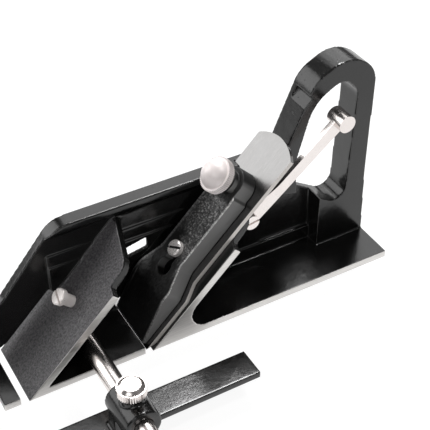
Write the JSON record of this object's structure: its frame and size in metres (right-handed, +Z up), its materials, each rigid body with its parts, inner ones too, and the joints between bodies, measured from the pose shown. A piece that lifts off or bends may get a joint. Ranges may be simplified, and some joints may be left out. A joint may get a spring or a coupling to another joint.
{
  "type": "rebate plane",
  "caption": "Cast-iron duplex rebate plane with main and bullnose seats, lever-adjusted cutter, lever cap, loop handle, rod-mounted fence, depth stop and spur.",
  "frame": {"origin": "centre of the sole's underside, half-way between toe and heel and between the two sides", "axes": "+X from toe to heel, +Y from the open side to the wall side, +Z up from the sole"},
  "size_m": [0.218, 0.1365, 0.1343],
  "materials": {
    "casting": "black paint over cast iron, ground bright on sole, sides and bed edges",
    "ground_steel": "ground steel",
    "nickel": "nickel-plated steel"
  },
  "bodies": {
    "casting": {"body": "casting", "main_seat_screw": "nickel", "bullnose_seat_screw": "nickel", "lever_pivot_screw": "nickel", "fence_rod": "nickel", "depth_stop_washer": "nickel", "spur_screw": "nickel"},
    "cutter": {"iron": "ground_steel"},
    "cap": {"lever_cap": "casting"},
    "cap_screw": {"cap_thumbscrew": "nickel"},
    "lever": {"adjusting_lever": "nickel"},
    "fence_guide": {"fence": "casting"},
    "fence_clamp": {"fence_thumbscrew": "nickel"},
    "stop": {"depth_stop": "casting"},
    "stop_clamp": {"depth_stop_thumbscrew": "nickel"},
    "nicker": {"spur": "ground_steel"}
  },
  "joints": [
    {"name": "lever_swing", "type": "hinge", "parent": "casting", "child": "lever", "pos_m": [0.02973, -0.005, 0.04928], "axis": [0, 1, 0], "range_deg": [-10, 10]},
    {"name": "iron_slide", "type": "slide", "parent": "casting", "child": "cutter", "axis": [0.7071, 0, 0.7071], "range_m": [-0.0017, 0.0017]},
    {"name": "cap_release", "type": "slide", "parent": "casting", "child": "cap", "axis": [0.7071, 0, 0.7071], "range_m": [0, 0.0105]},
    {"name": "cap_thumbscrew_turn", "type": "hinge", "parent": "cap", "child": "cap_screw", "pos_m": [0.03058, 0.0007, 0.06258], "axis": [-0.7071, 0, 0.7071], "continuous": true},
    {"name": "fence_slide", "type": "slide", "parent": "casting", "child": "fence_guide", "axis": [0, 1, 0], "range_m": [-0.032, 0.028]},
    {"name": "fence_thumbscrew_turn", "type": "hinge", "parent": "fence_guide", "child": "fence_clamp", "pos_m": [-0.062, -0.059, 0.03], "axis": [0, 0, 1], "continuous": true},
    {"name": "depth_stop_slide", "type": "slide", "parent": "casting", "child": "stop", "axis": [0, 0, 1], "range_m": [-0.0135, 0.006]},
    {"name": "depth_stop_thumbscrew_turn", "type": "hinge", "parent": "casting", "child": "stop_clamp", "pos_m": [-0.061, 0.027, 0.04], "axis": [0, 1, 0], "continuous": true},
    {"name": "spur_turn", "type": "hinge", "parent": "casting", "child": "nicker", "pos_m": [-0.053, 0.018, 0.0072], "axis": [0, 1, 0], "continuous": true}
  ],
  "couplings": [
    {"joint": "iron_slide", "follows": "lever_swing", "m_per_rad": 0.0093}
  ]
}
